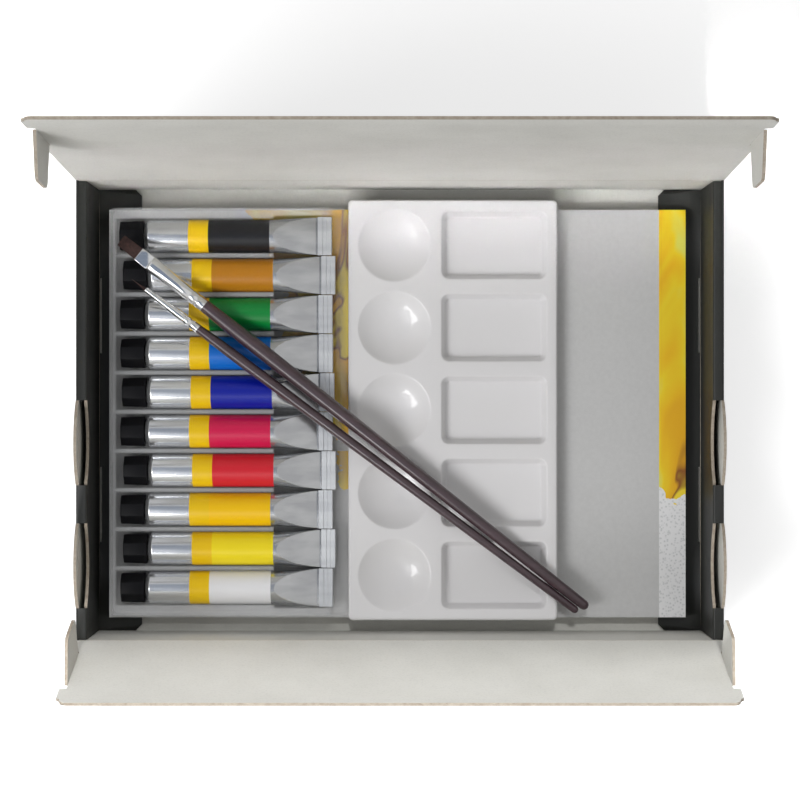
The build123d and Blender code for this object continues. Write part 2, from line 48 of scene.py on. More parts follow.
# Palette, in millimetres: its wells as in the frame, then its own roundings
WELLS = 5
WELL_PITCH = 42.2
BOWL_OFFSET, DISH_OFFSET = -29.9, 21.1
BOWL_RADIUS, BOWL_DEPTH = 18.6, 6.5
DISH_LENGTH, DISH_WIDTH, DISH_DEPTH, DISH_CORNER = 54.5, 35.2, 6.0, 4.0
PALETTE_EDGE, PALETTE_WALL, PALETTE_CORNER = 1.3, 1.25, 2.4
BOWL_RIM = 2.2
DISH_RIM, DISH_FOOT, DISH_SLOPE = 1.1, 1.2, radians(68)
DISH_RIM_GROWTH, DISH_CORNER_GROWTH = 0.7, 0.6
ROUNDING_STEPS = 5

# How far from a well's centre its own outline reaches at most, in metres
BOWL_REACH, DISH_REACH = (0.021, 0.021), (0.0285, 0.0195)

# Tube, in millimetres along it from the cap's end: where its tail starts to flatten and where it is flat
TAIL_START, TAIL_END = 78.0, 100.3
TAIL_HALF_HEIGHT, TAIL_DROP = 8.62, 7.82
TAIL_FOLD_RADIUS = 0.55

# Cap, in millimetres: an octagon across its flats at the wide and the narrow end
CAP_WIDTH, CAP_END_WIDTH, CAP_LENGTH = 15.2, 14.4, 12.0

# Tray's film: how much it hides in the troughs and on the flange, which begins between two X values in metres
FLANGE_FROM, FLANGE_TO = -0.038, -0.034
TROUGH_COVER, FLANGE_COVER = 0.20, 0.07

# Pad's cover, in metres: the X where its strip starts, the Y below which that is bare canvas, the swirls' edge
STRIP_FROM, CANVAS_BELOW, SWIRLS_FROM = 0.1335, -0.012, -0.010

# Hairs: columns and rows of the flat tuft, rings round the middle hair of the round one
FLAT_COLUMNS, FLAT_ROWS, ROUND_RINGS = 46, 9, 6

# Brushes: where the hair's tip lies on the plan, the heading in degrees and the radii that rest on something
FLAT_BRUSH = {"tip": (-140.9, 86.0), "heading": -38.3, "support": 90.0, "belly": 3.9, "end": 2.6}
ROUND_BRUSH = {"tip": (-135.6, 66.4), "heading": -36.8, "support": 93.0, "belly": 2.9, "end": 2.0}
REST_GAP = 0.3

# The paints' colours from the back tube to the front one
PAINTS = {
    "black": (0.010, 0.010, 0.012),
    "ochre": (0.48, 0.19, 0.008),
    "green": (0.004, 0.24, 0.042),
    "sky_blue": (0.004, 0.155, 0.62),
    "deep_blue": (0.003, 0.012, 0.34),
    "crimson": (0.66, 0.010, 0.078),
    "red": (0.66, 0.016, 0.030),
    "golden_yellow": (0.92, 0.55, 0.0),
    "lemon": (0.93, 0.74, 0.012),
    "white": (0.80, 0.80, 0.82),
}

# Where the print lies along a tube, as shares of its length
YELLOW_FROM, COLOUR_FROM, COLOUR_TO, CRIMP_FROM = 0.3236, 0.4163, 0.7036, 0.93


# Node helpers

def new_finish(name):
    """An empty material with its shader, and the tree to build it in."""
    finish = bpy.data.materials.new(name)
    finish.use_nodes = True
    tree = finish.node_tree
    shader = tree.nodes["Principled BSDF"]
    return finish, tree, shader


def add_node(tree, kind, inputs=None, **settings):
    """Adds a node; an input is either a value or the socket that feeds it."""
    node = tree.nodes.new(kind)
    for key, value in settings.items():
        setattr(node, key, value)
    for key, value in (inputs or {}).items():
        if isinstance(value, bpy.types.NodeSocket):
            tree.links.new(value, node.inputs[key])
        else:
            node.inputs[key].default_value = value
    return node


def object_coords(tree, scale=(1, 1, 1), location=(0, 0, 0), rotation=(0, 0, 0)):
    """The piece's own coordinates, moved, turned or stretched."""
    coords = add_node(tree, "ShaderNodeTexCoord")
    mapping = add_node(tree, "ShaderNodeMapping", {"Vector": coords.outputs["Object"], "Location": location,
                                                   "Rotation": rotation, "Scale": scale})
    return mapping.outputs["Vector"]


def noise(tree, vector, scale, detail=4.0, roughness=0.55):
    """Cloudy noise between 0 and 1."""
    node = add_node(tree, "ShaderNodeTexNoise", {"Vector": vector, "Scale": scale, "Detail": detail,
                                                 "Roughness": roughness})
    return node.outputs["Fac"]


def ramp(tree, fac, stops, hard=False):
    """A ramp through stops of (place, grey or colour), in steps when hard."""
    node = add_node(tree, "ShaderNodeValToRGB", {"Fac": fac})
    node.color_ramp.interpolation = "CONSTANT" if hard else "LINEAR"
    while len(node.color_ramp.elements) < len(stops):
        node.color_ramp.elements.new(0.5)
    for element, (place, value) in zip(node.color_ramp.elements, stops):
        element.position = place
        element.color = (*value, 1) if isinstance(value, tuple) else (value, value, value, 1)
    return node.outputs["Color"]


def mixed(tree, fac, a, b, blend="MIX"):
    """One colour laid over another by a factor."""
    node = add_node(tree, "ShaderNodeMix", data_type="RGBA", blend_type=blend)
    for socket, value in (("Factor", fac), ("A", a), ("B", b)):
        target = [s for s in node.inputs if s.name == socket and (s.type == "RGBA" or socket == "Factor")][0]
        if isinstance(value, bpy.types.NodeSocket):
            tree.links.new(value, target)
        else:
            target.default_value = value
    return [s for s in node.outputs if s.type == "RGBA"][0]


def maths(tree, operation, a, b=0.0):
    node = add_node(tree, "ShaderNodeMath", {0: a, 1: b}, operation=operation)
    return node.outputs[0]


def bump(tree, shader, height, strength, distance=0.0002):
    """Fine relief in a finish; the distance is in metres."""
    node = add_node(tree, "ShaderNodeBump", {"Height": height, "Strength": strength, "Distance": distance})
    tree.links.new(node.outputs["Normal"], shader.inputs["Normal"])


# Finishes

def board_liner(name, light, dark, grain_scale=900.0):
    """Uncoated board liner: faint mottle, short fibres and the flutes just telling through."""
    finish, tree, shader = new_finish(name)
    place = object_coords(tree)
    mottle = noise(tree, place, 28.0, 5.0)
    fibres = noise(tree, object_coords(tree, scale=(1, 3, 1)), grain_scale, 2.0)
    colour = ramp(tree, mottle, ((0.3, dark), (0.7, light)))
    specks = ramp(tree, fibres, ((0.32, 0.93), (0.5, 1.0)))
    tree.links.new(mixed(tree, 1.0, colour, specks, "MULTIPLY"), shader.inputs["Base Color"])
    shader.inputs["Roughness"].default_value = 0.82
    flutes = add_node(tree, "ShaderNodeTexWave", {"Vector": place, "Scale": 55.0, "Distortion": 0.6},
                      bands_direction="X", wave_profile="SIN")
    height = maths(tree, "ADD", maths(tree, "MULTIPLY", flutes.outputs["Fac"], 0.25), fibres)
    bump(tree, shader, height, 0.10)
    return finish


def board_print():
    """Black flood print on board, rubbed slightly, with the weak sheen of a water-based varnish."""
    finish, tree, shader = new_finish("board_black_print")
    place = object_coords(tree)
    cloud = noise(tree, place, 22.0, 6.0)
    colour = ramp(tree, cloud, ((0.30, (0.0105, 0.0112, 0.0095)), (0.75, (0.0175, 0.0185, 0.0160))))
    tree.links.new(colour, shader.inputs["Base Color"])
    tree.links.new(ramp(tree, cloud, ((0.3, 0.42), (0.7, 0.55))), shader.inputs["Roughness"])
    bump(tree, shader, noise(tree, place, 700.0, 3.0), 0.06)
    return finish


def board_edge():
    """Raw cut edge: pale brown paper, with painted shade darkening the flutes' hollow mouths."""
    finish, tree, shader = new_finish("board_raw_edge")
    place = object_coords(tree)
    flutes = add_node(tree, "ShaderNodeTexVoronoi", {"Vector": place, "Scale": 700.0}, feature="F1")
    grain = noise(tree, place, 420.0, 3.0)
    colour = ramp(tree, grain, ((0.3, (0.34, 0.285, 0.225)), (0.7, (0.47, 0.415, 0.345))))
    # Painted shade: the flutes' hollow mouths are darkened in the colour.
    dark = ramp(tree, flutes.outputs["Distance"], ((0.12, 0.72), (0.32, 1.0)))
    tree.links.new(mixed(tree, 0.6, colour, dark, "MULTIPLY"), shader.inputs["Base Color"])
    shader.inputs["Roughness"].default_value = 0.9
    bump(tree, shader, flutes.outputs["Distance"], 0.25)
    return finish


def moulded_plastic(name, colour, roughness, coat=0.0, ripple=0.02, cloudiness=0.03, gloss=0.5):
    """Moulded plastic with a faint cloudiness and a slight ripple in its surface."""
    finish, tree, shader = new_finish(name)
    shader.inputs["Specular IOR Level"].default_value = gloss
    place = object_coords(tree)
    cloud = noise(tree, place, 24.0, 2.0)
    shade = tuple((1 - cloudiness) * c for c in colour)
    tree.links.new(ramp(tree, cloud, ((0.35, shade), (0.65, colour))), shader.inputs["Base Color"])
    rubbed = ramp(tree, noise(tree, place, 80.0, 2.0), ((0.3, roughness - 0.02), (0.7, roughness + 0.03)))
    tree.links.new(rubbed, shader.inputs["Roughness"])
    shader.inputs["Coat Weight"].default_value = coat
    shader.inputs["Coat Roughness"].default_value = 0.09
    bump(tree, shader, noise(tree, place, 50.0, 2.0), ripple, 0.0003)
    return finish


def clear_film():
    """Thin clear sheet with a slight haze; close fine ribs stiffen its flange and catch the light."""
    finish, tree, shader = new_finish("tray_clear_film")
    place = object_coords(tree)
    shader.inputs["Base Color"].default_value = (0.90, 0.91, 0.93, 1)
    shader.inputs["Roughness"].default_value = 0.16
    shader.inputs["IOR"].default_value = 1.55
    across = add_node(tree, "ShaderNodeSeparateXYZ", {"Vector": place}).outputs["X"]
    cover = add_node(tree, "ShaderNodeMapRange",
                     {"Value": across, "From Min": FLANGE_FROM, "From Max": FLANGE_TO,
                      "To Min": TROUGH_COVER, "To Max": FLANGE_COVER})
    tree.links.new(cover.outputs["Result"], shader.inputs["Alpha"])
    ribs = add_node(tree, "ShaderNodeTexWave", {"Vector": place, "Scale": 150.0}, bands_direction="X")
    ribbing = maths(tree, "MULTIPLY", ribs.outputs["Fac"], 0.35)
    bump(tree, shader, maths(tree, "ADD", ribbing, noise(tree, place, 55.0, 2.0)), 0.35, 0.0005)
    return finish


def tube_print(name, colour, start, length):
    """Satin tube metal with painted reflection streaks along it, a yellow band and a broad band of the paint's
    colour.
    """
    finish, tree, shader = new_finish(name)
    place = object_coords(tree, location=(-start, 0, 0))
    along = add_node(tree, "ShaderNodeSeparateXYZ", {"Vector": place}).outputs["X"]
    share = maths(tree, "DIVIDE", along, length)
    # Streaks along the tube in the bare metal's colour: partly drawing marks, partly painted reflection
    # streaks.
    marks_and_painted_streaks = noise(tree, object_coords(tree, scale=(0.12, 1, 1)), 160.0, 2.0)
    bare = ramp(tree, marks_and_painted_streaks, ((0.35, (0.66, 0.67, 0.69)), (0.65, (0.80, 0.81, 0.82))))
    tail = ramp(tree, share, ((0.0, 1.0), (COLOUR_TO, 0.74), (CRIMP_FROM, 0.86)), hard=True)
    bare = mixed(tree, 1.0, bare, tail, "MULTIPLY")
    yellow = (0.87, 0.56, 0.004)
    bands = ramp(tree, share, ((0.0, (0, 0, 0)), (YELLOW_FROM, yellow), (COLOUR_FROM, colour),
                               (COLOUR_TO, (0, 0, 0))), hard=True)
    printed = ramp(tree, share, ((0.0, 0.0), (YELLOW_FROM, 1.0), (COLOUR_TO, 0.0)), hard=True)
    tree.links.new(mixed(tree, printed, bare, bands), shader.inputs["Base Color"])
    tree.links.new(ramp(tree, share, ((0.0, 0.85), (YELLOW_FROM, 0.0), (COLOUR_TO, 0.9)), hard=True),
                   shader.inputs["Metallic"])
    rough_bands = ((0.0, 0.21), (YELLOW_FROM, 0.30), (COLOUR_TO, 0.24), (CRIMP_FROM, 0.42))
    tree.links.new(ramp(tree, share, rough_bands, hard=True), shader.inputs["Roughness"])
    shader.inputs["Specular IOR Level"].default_value = 0.4
    stripes = noise(tree, object_coords(tree, scale=(0.10, 1, 1)), 210.0, 1.0)
    pinches = noise(tree, place, 900.0, 2.0)
    crimped = ramp(tree, share, ((0.0, 0.0), (CRIMP_FROM, 1.0)), hard=True)
    bump(tree, shader, maths(tree, "ADD", maths(tree, "MULTIPLY", stripes, 0.6),
                             maths(tree, "MULTIPLY", crimped, pinches)), 0.22, 0.0005)
    return finish


def polished_metal(name, colour, roughness):
    """Plated metal with fine lines along the brushes."""
    finish, tree, shader = new_finish(name)
    fine = noise(tree, object_coords(tree, rotation=(0, 0, radians(38)), scale=(1, 12, 12)), 120.0, 3.0)
    tree.links.new(ramp(tree, fine, ((0.3, tuple(0.93 * c for c in colour)), (0.7, colour))),
                   shader.inputs["Base Color"])
    shader.inputs["Metallic"].default_value = 1.0
    tree.links.new(ramp(tree, fine, ((0.3, roughness), (0.7, roughness + 0.08))), shader.inputs["Roughness"])
    return finish


def handle_lacquer():
    """Deep aubergine lacquer over turned wood."""
    finish, tree, shader = new_finish("handle_lacquer")
    streaks = noise(tree, object_coords(tree, rotation=(0, 0, radians(38)), scale=(1, 14, 14)), 22.0, 4.0)
    tree.links.new(ramp(tree, streaks, ((0.3, (0.030, 0.012, 0.018)), (0.7, (0.052, 0.022, 0.031)))),
                   shader.inputs["Base Color"])
    shader.inputs["Roughness"].default_value = 0.38
    shader.inputs["Coat Weight"].default_value = 0.9
    shader.inputs["Coat Roughness"].default_value = 0.08
    return finish


def hair_finish():
    """Dark brown hair, a little uneven from strand to strand."""
    finish, tree, shader = new_finish("brush_hair")
    tone = noise(tree, object_coords(tree, scale=(1, 1, 1)), 900.0, 2.0)
    tree.links.new(ramp(tree, tone, ((0.3, (0.020, 0.008, 0.007)), (0.7, (0.060, 0.026, 0.021)))),
                   shader.inputs["Base Color"])
    shader.inputs["Roughness"].default_value = 0.45
    return finish


def pad_cover_print():
    """Plain grey cover with a painted strip at the right end and painted swirls at its top left."""
    finish, tree, shader = new_finish("pad_cover_print")
    place = object_coords(tree)
    split = add_node(tree, "ShaderNodeSeparateXYZ", {"Vector": place})
    x, y = split.outputs["X"], split.outputs["Y"]
    grain = noise(tree, place, 500.0, 2.0)
    grey = ramp(tree, grain, ((0.3, (0.555, 0.555, 0.555)), (0.7, (0.585, 0.585, 0.585))))
    swirl_at = object_coords(tree, scale=(1.0, 0.34, 1.0), rotation=(0, 0, 0.4))
    swirl = add_node(tree, "ShaderNodeTexNoise", {"Vector": swirl_at, "Scale": 24.0, "Detail": 3.0,
                                                  "Roughness": 0.5, "Distortion": 1.4})
    paint = ramp(tree, swirl.outputs["Fac"], ((0.34, (0.80, 0.74, 0.12)), (0.42, (0.90, 0.66, 0.012)),
                                              (0.50, (0.88, 0.52, 0.004)), (0.56, (0.82, 0.42, 0.004)),
                                              (0.575, (0.22, 0.055, 0.008)), (0.60, (0.92, 0.70, 0.03))))
    weave = add_node(tree, "ShaderNodeTexVoronoi", {"Vector": place, "Scale": 720.0}, feature="F1")
    canvas = ramp(tree, weave.outputs["Distance"], ((0.1, (0.60, 0.61, 0.62)), (0.5, (0.84, 0.84, 0.85))))
    edge_wobble = maths(tree, "MULTIPLY", noise(tree, place, 45.0, 4.0), 0.06)
    low = maths(tree, "LESS_THAN", maths(tree, "ADD", y, edge_wobble), CANVAS_BELOW)
    strip = mixed(tree, low, paint, canvas)
    in_strip = maths(tree, "GREATER_THAN", x, STRIP_FROM)
    slant = maths(tree, "ADD", x, maths(tree, "MULTIPLY", y, 0.35))
    under = maths(tree, "MULTIPLY", maths(tree, "LESS_THAN", x, 0.0),
                  maths(tree, "GREATER_THAN", maths(tree, "ADD", slant, edge_wobble), SWIRLS_FROM))
    colour = mixed(tree, under, grey, paint)
    tree.links.new(mixed(tree, in_strip, colour, strip), shader.inputs["Base Color"])
    shader.inputs["Roughness"].default_value = 0.5
    bump(tree, shader, weave.outputs["Distance"], 0.08)
    return finish


def canvas_sheets():
    """Stacked sheets seen at the edge, canvas weave on top."""
    finish, tree, shader = new_finish("canvas_paper")
    place = object_coords(tree)
    layers = add_node(tree, "ShaderNodeTexWave", {"Vector": place, "Scale": 350.0}, bands_direction="Z")
    tree.links.new(ramp(tree, layers.outputs["Fac"], ((0.1, (0.52, 0.52, 0.50)), (0.5, (0.80, 0.80, 0.78)))),
                   shader.inputs["Base Color"])
    weave = add_node(tree, "ShaderNodeTexVoronoi", {"Vector": place, "Scale": 1100.0}, feature="F1")
    shader.inputs["Roughness"].default_value = 0.9
    bump(tree, shader, weave.outputs["Distance"], 0.5)
    return finish


finishes = {
    "liner": board_liner("board_liner", (0.66, 0.655, 0.62), (0.60, 0.595, 0.56)),
    "print": board_print(),
    "edge": board_edge(),
    "grey_board": board_liner("grey_board", (0.34, 0.33, 0.30), (0.26, 0.25, 0.23)),
    "cover": pad_cover_print(),
    "canvas": canvas_sheets(),
    "spine": moulded_plastic("spine_glue", (0.74, 0.74, 0.73), 0.6),
    "palette": moulded_plastic("palette_gloss", (0.745, 0.735, 0.745), 0.42, coat=0.8, ripple=0.01,
                               cloudiness=0.006),
    "cap": moulded_plastic("cap_black", (0.0050, 0.0050, 0.0062), 0.40, ripple=0.01, gloss=0.13),
    "film": clear_film(),
    "ferrule": polished_metal("ferrule_plate", (0.86, 0.86, 0.86), 0.07),
    "lacquer": handle_lacquer(),
    "hair": hair_finish(),
}


# Modelling helpers

def activate(piece):
    """Selects one piece alone and makes it the active one."""
    bpy.ops.object.select_all(action="DESELECT")
    piece.select_set(True)
    bpy.context.view_layer.objects.active = piece


def cad_copy(node, name):
    """A fresh copy of a CAD node's mesh, its loose triangles merged, ready to be dressed."""
    piece = bpy.data.objects.new(name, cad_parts[node].data.copy())
    piece.data.materials.clear()
    bpy.context.scene.collection.objects.link(piece)
    activate(piece)
    bpy.ops.object.mode_set(mode="EDIT")
    bpy.ops.mesh.select_all(action="SELECT")
    bpy.ops.mesh.remove_doubles(threshold=0.000002)
    bpy.ops.mesh.tris_convert_to_quads(face_threshold=0.02, shape_threshold=0.7)
    bpy.ops.object.mode_set(mode="OBJECT")
    return piece


def clear_picks(kind):
    """Leaves the active piece with nothing selected, ready for points or faces to be picked."""
    bpy.ops.object.mode_set(mode="EDIT")
    bpy.ops.mesh.select_mode(type=kind)
    bpy.ops.mesh.select_all(action="DESELECT")
    bpy.ops.object.mode_set(mode="OBJECT")


def apply_modifier(piece, modifier):
    """Makes a modifier part of the piece's mesh."""
    activate(piece)
    bpy.ops.object.modifier_apply(modifier=modifier.name)


def face_outwards():
    """Turns every face of the piece in edit mode outwards and leaves edit mode."""
    bpy.ops.mesh.select_all(action="SELECT")
    bpy.ops.mesh.normals_make_consistent(inside=False)
    bpy.ops.object.mode_set(mode="OBJECT")


def paint_faces(piece, names, rule):
    """Gives every face the finish that the rule picks from its middle and its normal."""
    for key in names:
        piece.data.materials.append(finishes[key])
    for face in piece.data.polygons:
        face.material_index = names.index(rule(face.center, face.normal))


def settle(piece, body, slot, *nodes):
    """Smooths a finished piece, and hands it to its body in place of its CAD nodes."""
    activate(piece)
    bpy.ops.object.shade_smooth_by_angle(angle=radians(32))
    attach(piece, body)
    if nodes:
        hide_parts(*nodes)


def drawn_form(name, rings, sides, closed=True):
    """A form pulled out along X from a circle: each ring is (place, width, depth) in millimetres."""
    x, width, depth = rings[0]
    bpy.ops.mesh.primitive_circle_add(vertices=sides, radius=0.5 * MM, location=(x * MM, 0, 0),
                                      rotation=(0, pi / 2, 0))
    piece = bpy.context.active_object
    piece.name = name
    piece.data.name = name
    bpy.ops.object.transform_apply(location=True, rotation=True, scale=True)
    bpy.ops.object.mode_set(mode="EDIT")
    bpy.ops.mesh.select_all(action="SELECT")
    bpy.ops.transform.resize(value=(1, width, depth), center_override=(x * MM, 0, 0))
    if closed:
        bpy.ops.mesh.edge_face_add()
    for new_x, new_width, new_depth in rings[1:]:
        bpy.ops.mesh.extrude_region_move(TRANSFORM_OT_translate={"value": ((new_x - x) * MM, 0, 0)})
        bpy.ops.transform.resize(value=(1, new_width / width, new_depth / depth),
                                 center_override=(new_x * MM, 0, 0))
        x, width, depth = new_x, new_width, new_depth
    face_outwards()
    return piece


def moved_copy(piece, name, matrix):
    """Another of the same piece, with a mesh of its own, set in its place."""
    twin = bpy.data.objects.new(name, piece.data.copy())
    twin.data.name = name
    bpy.context.scene.collection.objects.link(twin)
    twin.data.transform(matrix)
    return twin


def set_in_place(piece, matrix):
    """Moves a piece's mesh, so that the piece itself stays at the origin."""
    piece.data.transform(matrix)
    piece.data.update()


# Carton

def rolled_wall_rule(centre, normal):
    """Raw edges along the roll's ends and its tabs, liner inside the roll and print elsewhere."""
    x, z = abs(centre.x) / MM, centre.z / MM
    if abs(normal.x) < 0.5:
        if x > 155.9 and z < 51.0:
            return "edge"
        if z > 52.1:
            return "edge"
        return "print"
    if 157.3 < x < 160.3 and z < 61:
        return "liner"
    return "print"


for side in ("left", "right"):
    wall = cad_copy(f"carton_{side}_rolled_wall", f"carton_{side}_side")
    paint_faces(wall, ["print", "liner", "edge"], rolled_wall_rule)
    settle(wall, "carton", "board_print", f"carton_{side}_rolled_wall")

for side, inward in (("back", -1), ("front", 1)):
    wall = cad_copy(f"carton_{side}_wall", f"carton_{side}_side")
    paint_faces(wall, ["liner", "print", "edge"],
                lambda c, n, s=inward: "liner" if n.y * s > 0.9 else "print" if n.y * s < -0.9 else "edge")
    settle(wall, "carton", "board_liner", f"carton_{side}_wall")

base = cad_copy("carton_floor", "carton_base")
paint_faces(base, ["liner", "print", "edge"],
            lambda c, n: "liner" if n.z > 0.9 else "print" if n.z < -0.9 else "edge")
settle(base, "carton", "board_liner", "carton_floor")

tabs = cad_copy("carton_corner_tabs", "carton_glue_tabs")
paint_faces(tabs, ["liner", "print"], lambda c, n: "liner")
settle(tabs, "carton", "board_liner", "carton_corner_tabs")

LEANS = {"long": radians(93.0), "short": radians(106.0)}
for flap, lean in LEANS.items():
    inner = Vector((0, sin(lean), -cos(lean)))
    if flap == "long":
        inner.y = -inner.y
    panel = cad_copy(f"{flap}_flap", f"{flap}_flap_panel")
    paint_faces(panel, ["liner", "print", "edge"],
                lambda c, n, d=inner: "liner" if n.dot(d) > 0.5 else "print" if n.dot(d) < -0.5 else "edge")
    settle(panel, f"{flap}_flap", "board_liner", f"{flap}_flap")
    for side, towards in (("left", 1), ("right", -1)):
        ear = cad_copy(f"{flap}_flap_{side}_ear", f"{flap}_flap_{side}_ear_panel")
        node = f"{flap}_flap_{side}_ear"
        paint_faces(ear, ["liner", "print", "edge"],
                    lambda c, n, s=towards: "liner" if n.x * s > 0.7
                    else "print" if n.x * s < -0.7 else "edge")
        settle(ear, node, "board_liner", node)


# Paper pad

PAD_LAYERS = (("pad_back_board", "grey_board", "grey_board"), ("pad_sheets", "canvas", "canvas_paper"),
              ("pad_cover", "cover", "cover_card"), ("pad_spine", "spine", "spine_glue"))
for node, finish, slot in PAD_LAYERS:
    layer = cad_copy(node, node + "_leaf")
    paint_faces(layer, [finish], lambda c, n, f=finish: f)
    settle(layer, "pad", slot, node)


# Palette and tray

def select_near(piece, centre, reach):
    """Selects the points of a piece that lie inside a rectangle round a place on the plan."""
    for point in piece.data.vertices:
        point.select = abs(point.co.x - centre[0]) < reach[0] and abs(point.co.y - centre[1]) < reach[1]


def rounded_loop(centre, size, corner, segments):
    """An empty rounded rectangle of edges at one height."""
    bpy.ops.mesh.primitive_plane_add(size=1, location=centre)
    loop = bpy.context.active_object
    loop.scale = (size[0], size[1], 1)
    bpy.ops.object.transform_apply(location=True, rotation=True, scale=True)
    bpy.ops.object.mode_set(mode="EDIT")
    bpy.ops.mesh.select_all(action="SELECT")
    bpy.ops.mesh.bevel(affect="VERTICES", offset=corner, segments=segments)
    bpy.ops.mesh.select_all(action="SELECT")
    bpy.ops.mesh.delete(type="ONLY_FACE")
    bpy.ops.object.mode_set(mode="OBJECT")
    return loop


def sink_well(piece, centre, reach, steps):
    """Closes one loop of the palette's top and presses it down in steps of (inwards, downwards)."""
    activate(piece)
    clear_picks("VERT")
    select_near(piece, centre, reach)
    bpy.ops.object.mode_set(mode="EDIT")
    bpy.ops.mesh.edge_face_add()
    bpy.ops.object.mode_set(mode="OBJECT")
    facing_down = any(face.select and face.normal.z < 0 for face in piece.data.polygons)
    bpy.ops.object.mode_set(mode="EDIT")
    if facing_down:
        bpy.ops.mesh.flip_normals()
    for inwards, downwards in steps:
        bpy.ops.mesh.inset(thickness=inwards * MM, depth=-downwards * MM)
    bpy.ops.object.mode_set(mode="OBJECT")


def steps_of(profile):
    """The steps between the points of a profile of (distance inwards, depth)."""
    return [(b[0] - a[0], b[1] - a[1]) for a, b in zip(profile, profile[1:])]


def rim_profile(rim, slope):
    """From the flat top round a rim of one radius until it reaches a slope."""
    profile = [(0.0, 0.0)]
    for k in range(1, ROUNDING_STEPS + 1):
        turn = slope * k / ROUNDING_STEPS
        profile.append((rim * sin(turn), rim * (1 - cos(turn))))
    return profile


def bowl_profile():
    """From the flat top over a rounded rim into a spherical bowl, measured inwards from the rim's start."""
    last_ring, ring_step, stop = 2.0, 1.25, 2.5
    ball = (BOWL_RADIUS ** 2 + BOWL_DEPTH ** 2) / (2 * BOWL_DEPTH)
    slope = asin(BOWL_RADIUS / ball)
    start = BOWL_RADIUS + BOWL_RIM * sin(slope / 2) / cos(slope / 2)
    profile = rim_profile(BOWL_RIM, slope)
    reach = start - profile[-1][0]
    while reach > stop:
        reach = max(last_ring, reach - ring_step)
        profile.append((start - reach, sqrt(ball ** 2 - reach ** 2) - (ball - BOWL_DEPTH)))
    return start, profile


def dish_profile():
    """From the flat top over a rounded rim, down a steep wall and round into a flat floor."""
    profile = rim_profile(DISH_RIM, DISH_SLOPE)
    foot_depth = DISH_FOOT * (1 - cos(DISH_SLOPE))
    wall = DISH_DEPTH - foot_depth - profile[-1][1]
    profile.append((profile[-1][0] + wall * cos(DISH_SLOPE) / sin(DISH_SLOPE), DISH_DEPTH - foot_depth))
    base = profile[-1][0]
    for k in range(1, ROUNDING_STEPS + 1):
        turn = DISH_SLOPE * (1 - k / ROUNDING_STEPS)
        inwards = base + DISH_FOOT * (sin(DISH_SLOPE) - sin(turn))
        profile.append((inwards, DISH_DEPTH - DISH_FOOT * (1 - cos(turn))))
    return profile


def palette_outline(low, high):
    """The palette's outline at the flat top, its rounded edge below it and the skirt down to the foot."""
    middle = (low + high) / 2
    edge = PALETTE_EDGE * MM
    size = Vector((high.x - low.x - 2 * edge, high.y - low.y - 2 * edge, 0))
    plate = rounded_loop((middle.x, middle.y, high.z), size, PALETTE_CORNER * MM, 6)
    bpy.ops.object.mode_set(mode="EDIT")
    bpy.ops.mesh.select_mode(type="EDGE")
    bpy.ops.mesh.select_all(action="SELECT")
    drop, width, length = 0.0, size.x, size.y
    for turn in (22.5, 45, 67.5, 90):
        out = edge * sin(radians(turn))
        down = edge * (1 - cos(radians(turn)))
        new_width, new_length = size.x + 2 * out, size.y + 2 * out
        bpy.ops.mesh.extrude_region_move(TRANSFORM_OT_translate={"value": (0, 0, drop - down)})
        bpy.ops.transform.resize(value=(new_width / width, new_length / length, 1),
                                 center_override=(middle.x, middle.y, 0))
        drop, width, length = down, new_width, new_length
    bpy.ops.mesh.extrude_region_move(TRANSFORM_OT_translate={"value": (0, 0, low.z - high.z + drop)})
    bpy.ops.object.mode_set(mode="OBJECT")
    return plate


def palette_wells(low, high):
    """Each well's outline at the flat top, with its centre, its reach and its profile."""
    middle = (low + high) / 2
    bowl_start, bowl_steps = bowl_profile()
    dish_size = ((DISH_LENGTH + DISH_RIM_GROWTH) * MM, (DISH_WIDTH + DISH_RIM_GROWTH) * MM)
    dish_corner = (DISH_CORNER + DISH_CORNER_GROWTH) * MM
    wells = []
    for n in range(WELLS):
        y = middle.y + (n - (WELLS - 1) / 2) * WELL_PITCH * MM
        bowl_at = (middle.x + BOWL_OFFSET * MM, y, high.z)
        bpy.ops.mesh.primitive_circle_add(vertices=72, radius=bowl_start * MM, fill_type="NOTHING",
                                          location=bowl_at)
        bpy.ops.object.transform_apply(location=True, rotation=True, scale=True)
        wells.append((bpy.context.active_object, bowl_at, BOWL_REACH, bowl_steps))
        dish_at = (middle.x + DISH_OFFSET * MM, y, high.z)
        wells.append((rounded_loop(dish_at, dish_size, dish_corner, 8), dish_at, DISH_REACH, dish_profile()))
    return wells


def palette_moulding():
    """The mixing palette as one thin moulded skin: plate, rounded wells and a skirt."""
    low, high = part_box("mixing_palette")
    plate = palette_outline(low, high)
    wells = palette_wells(low, high)
    activate(plate)
    for loop, centre, reach, profile in wells:
        loop.select_set(True)
    bpy.ops.object.join()
    clear_picks("VERT")
    for point in plate.data.vertices:
        point.select = point.co.z > high.z - 0.01 * MM
    bpy.ops.object.mode_set(mode="EDIT")
    bpy.ops.mesh.fill(use_beauty=True)
    bpy.ops.object.mode_set(mode="OBJECT")
    for loop, centre, reach, profile in wells:
        sink_well(plate, centre, reach, steps_of(profile))
    bpy.ops.object.mode_set(mode="EDIT")
    face_outwards()
    if sum(face.normal.z * face.area for face in plate.data.polygons) < 0:
        plate.data.flip_normals()
    skin = plate.modifiers.new("skin", "SOLIDIFY")
    skin.thickness = PALETTE_WALL * MM
    skin.offset = -1
    apply_modifier(plate, skin)
    plate.name = plate.data.name = "palette_moulding"
    return plate


palette = palette_moulding()
palette.data.materials.append(finishes["palette"])
settle(palette, "palette", "palette_plastic", "mixing_palette")

tray = cad_copy("tube_tray", "tray_moulding")
paint_faces(tray, ["film"], lambda c, n: "film")
settle(tray, "tray", "tray_film", "tube_tray")


# Tubes and caps

